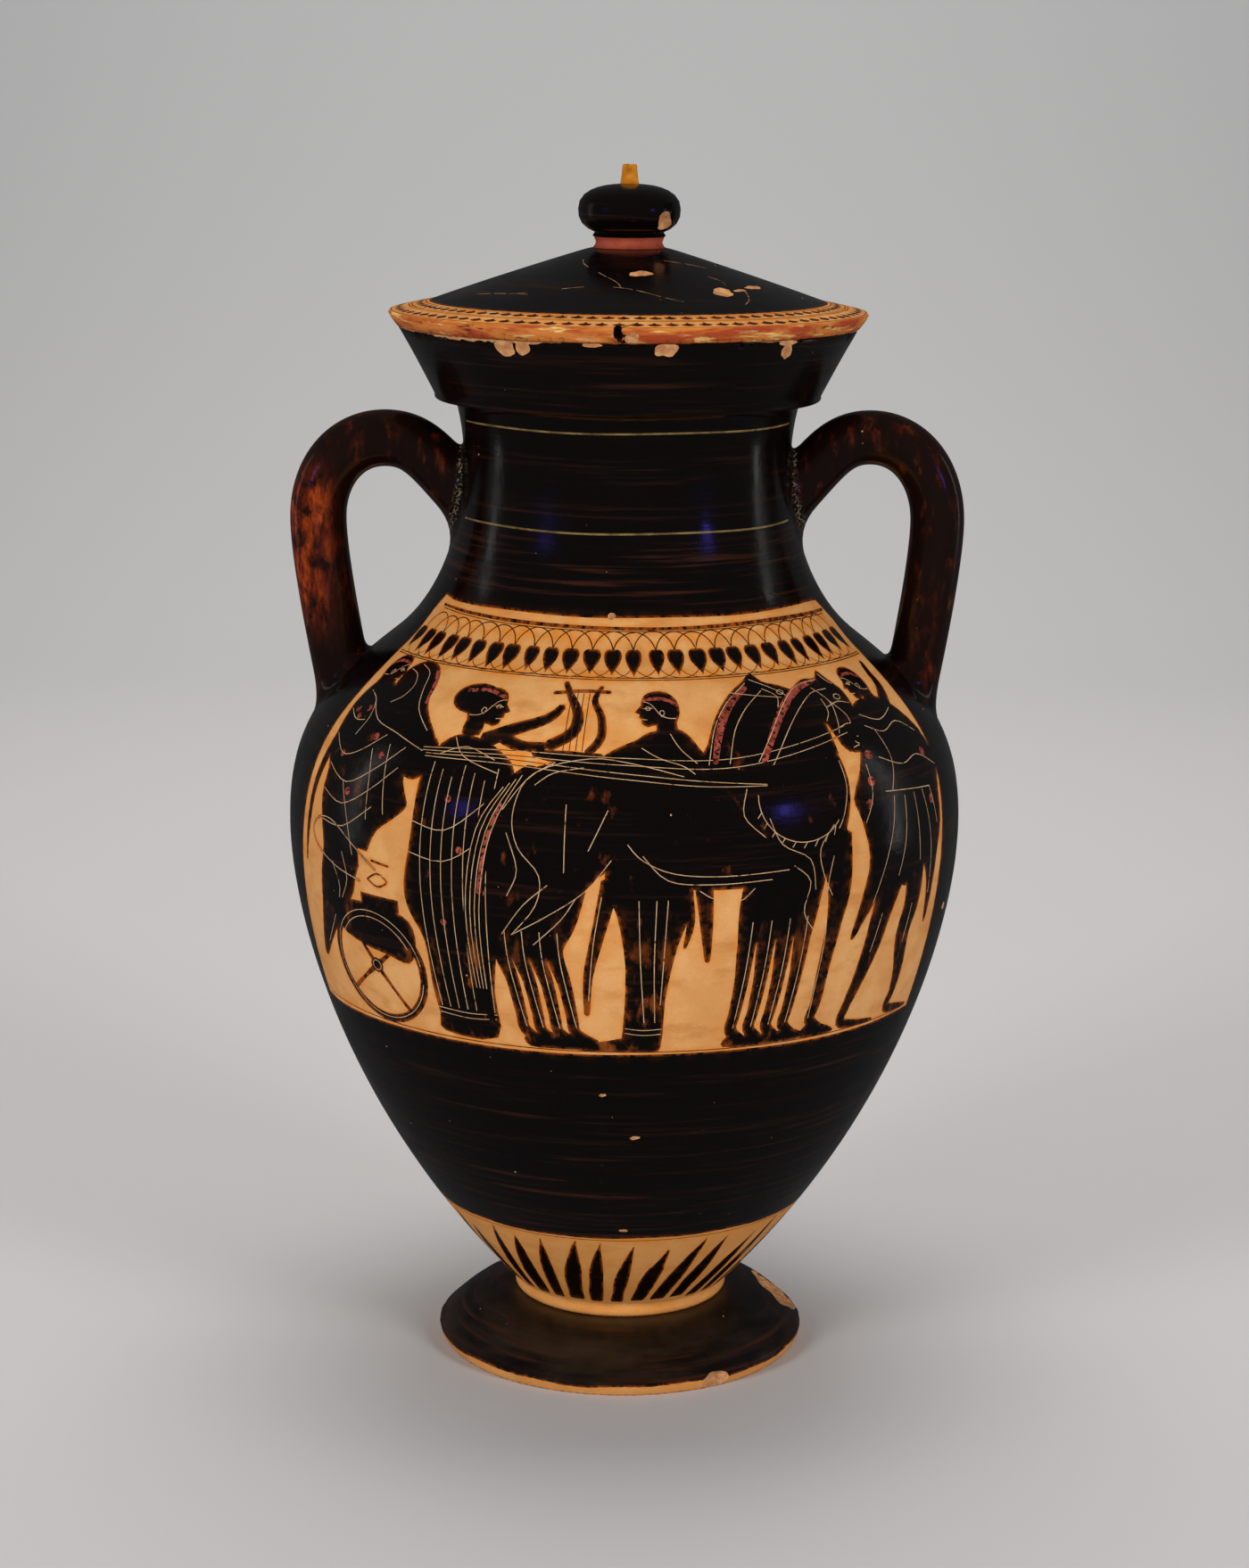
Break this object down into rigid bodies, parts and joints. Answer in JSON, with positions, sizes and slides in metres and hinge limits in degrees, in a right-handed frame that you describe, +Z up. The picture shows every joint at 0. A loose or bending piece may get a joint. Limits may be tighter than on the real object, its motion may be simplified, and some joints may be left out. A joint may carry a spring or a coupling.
{
  "type": "lidded amphora",
  "caption": "Wheel-thrown clay storage jar of one continuous curve with two round handles, a spreading foot, painted panels and a conical lid with a knob.",
  "frame": {"origin": "centre of the plane that the foot stands on", "axes": "+Z up along the jar's axis, the front panel faces -Y, the handles stand at -X and +X"},
  "size_m": [0.3228, 0.3228, 0.5745],
  "materials": {
    "slipped_clay": "glossy black slip over fired orange clay, with reserved panels",
    "slipped_lid": "glossy black slip over fired orange clay, worn to the clay at the rim"
  },
  "bodies": {
    "root": {"amphora": "slipped_clay", "lid": "slipped_lid"}
  },
  "joints": []
}
